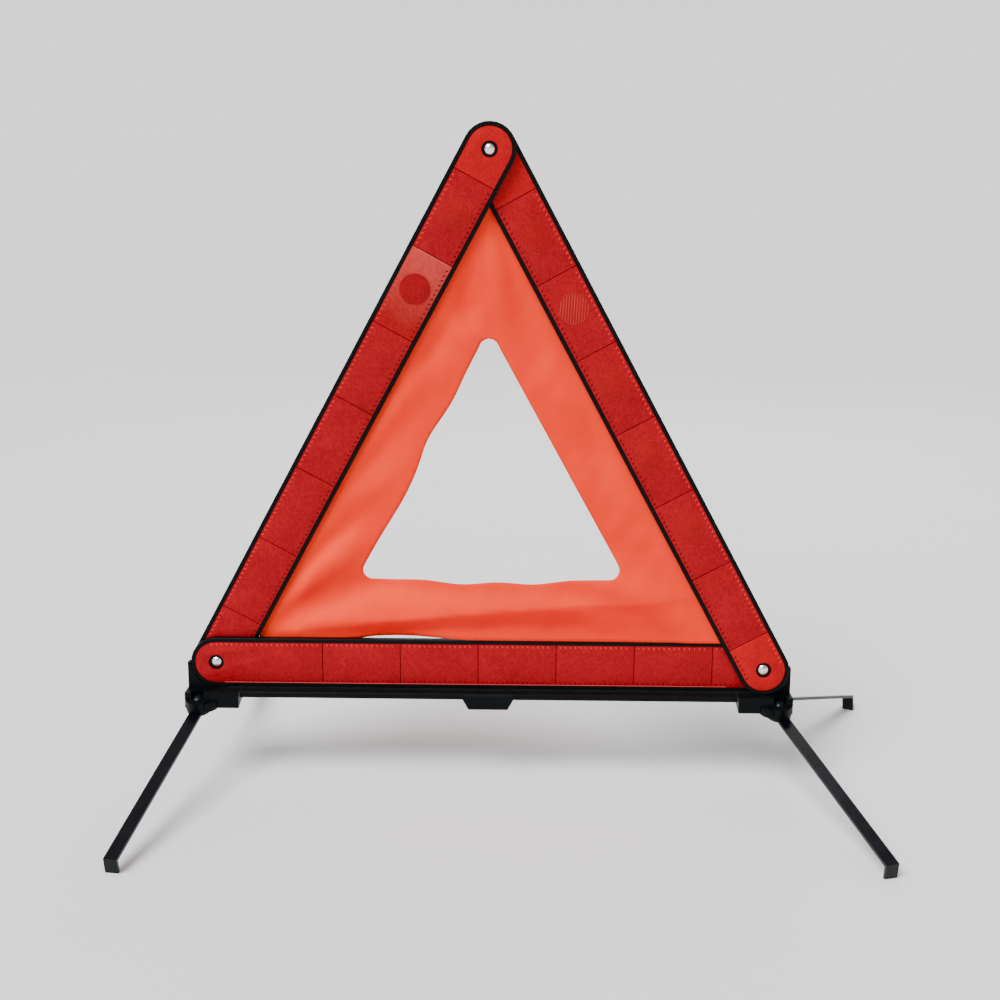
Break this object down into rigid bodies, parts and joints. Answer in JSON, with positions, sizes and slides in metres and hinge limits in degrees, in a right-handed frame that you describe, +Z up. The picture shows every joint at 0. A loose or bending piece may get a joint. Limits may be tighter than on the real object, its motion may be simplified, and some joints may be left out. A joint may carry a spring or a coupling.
{
  "type": "warning triangle",
  "caption": "Folding roadside warning triangle: red reflective bands on hinged arms, fluorescent fabric panel with a triangular hole, slim base channel on swing-out steel legs.",
  "frame": {"origin": "on the ground, at the middle of the bounding box in plan", "axes": "+X along the bottom bar to its right-hand end seen from the front, +Y to the back, +Z up; the reflective front faces -Y"},
  "size_m": [0.544, 0.3482, 0.472],
  "materials": {
    "black_plastic": "moulded black plastic, satin",
    "red_reflector": "clear red prismatic reflector, glossy",
    "orange_fabric": "fluorescent orange-red coated cloth",
    "rivet_aluminium": "bright",
    "pin_steel": "black",
    "leg_steel": "black, semi-gloss"
  },
  "bodies": {
    "base": {"base_housing": "black_plastic", "end_block_left": "black_plastic", "end_block_right": "black_plastic", "bottom_tray": "black_plastic", "bottom_reflector": "red_reflector", "left_hinge_rivet": "rivet_aluminium", "right_hinge_rivet": "rivet_aluminium", "warning_panel": "orange_fabric", "leg_pin_front_left": "pin_steel", "leg_pin_front_right": "pin_steel", "leg_pin_rear_left": "pin_steel", "leg_pin_rear_right": "pin_steel"},
    "left_arm": {"left_arm_tray": "black_plastic", "left_arm_reflector": "red_reflector", "left_panel_clamp": "black_plastic", "apex_rivet": "rivet_aluminium"},
    "right_arm": {"right_arm_tray": "black_plastic", "right_arm_reflector": "red_reflector", "right_panel_clamp": "black_plastic"},
    "front_left_leg": {"leg_front_left": "leg_steel"},
    "front_right_leg": {"leg_front_right": "leg_steel"},
    "rear_left_leg": {"leg_rear_left": "leg_steel"},
    "rear_right_leg": {"leg_rear_right": "leg_steel"}
  },
  "joints": [
    {"name": "left_arm_fold", "type": "hinge", "parent": "base", "child": "left_arm", "pos_m": [-0.23239, 0.0013, 0.0865], "axis": [0, 0.9996, 0.0291], "range_deg": [0, 61.4], "deforming": ["left_arm_tray", "left_arm_reflector", "left_panel_clamp", "warning_panel"]},
    {"name": "right_arm_fold", "type": "hinge", "parent": "base", "child": "right_arm", "pos_m": [0.16761, -0.0119, 0.0865], "axis": [0, 0.9996, -0.0291], "range_deg": [-61.4, 0]},
    {"name": "front_left_leg_swing", "type": "hinge", "parent": "base", "child": "front_left_leg", "pos_m": [-0.24439, -0.0158, 0.0539], "axis": [0, -0.2704, 0.9628], "range_deg": [0, 97]},
    {"name": "front_right_leg_swing", "type": "hinge", "parent": "base", "child": "front_right_leg", "pos_m": [0.17961, -0.0158, 0.0539], "axis": [0, -0.2797, 0.9601], "range_deg": [-106, 0]},
    {"name": "rear_left_leg_swing", "type": "hinge", "parent": "base", "child": "rear_left_leg", "pos_m": [-0.24439, 0.0147, 0.0539], "axis": [0, 0.268, 0.9634], "range_deg": [-87, 0]},
    {"name": "rear_right_leg_swing", "type": "hinge", "parent": "base", "child": "rear_right_leg", "pos_m": [0.17961, 0.0147, 0.0539], "axis": [0, 0.3172, 0.9484], "range_deg": [0, 122]}
  ],
  "couplings": [
    {"joint": "right_arm_fold", "follows": "left_arm_fold", "ratio": -1}
  ]
}
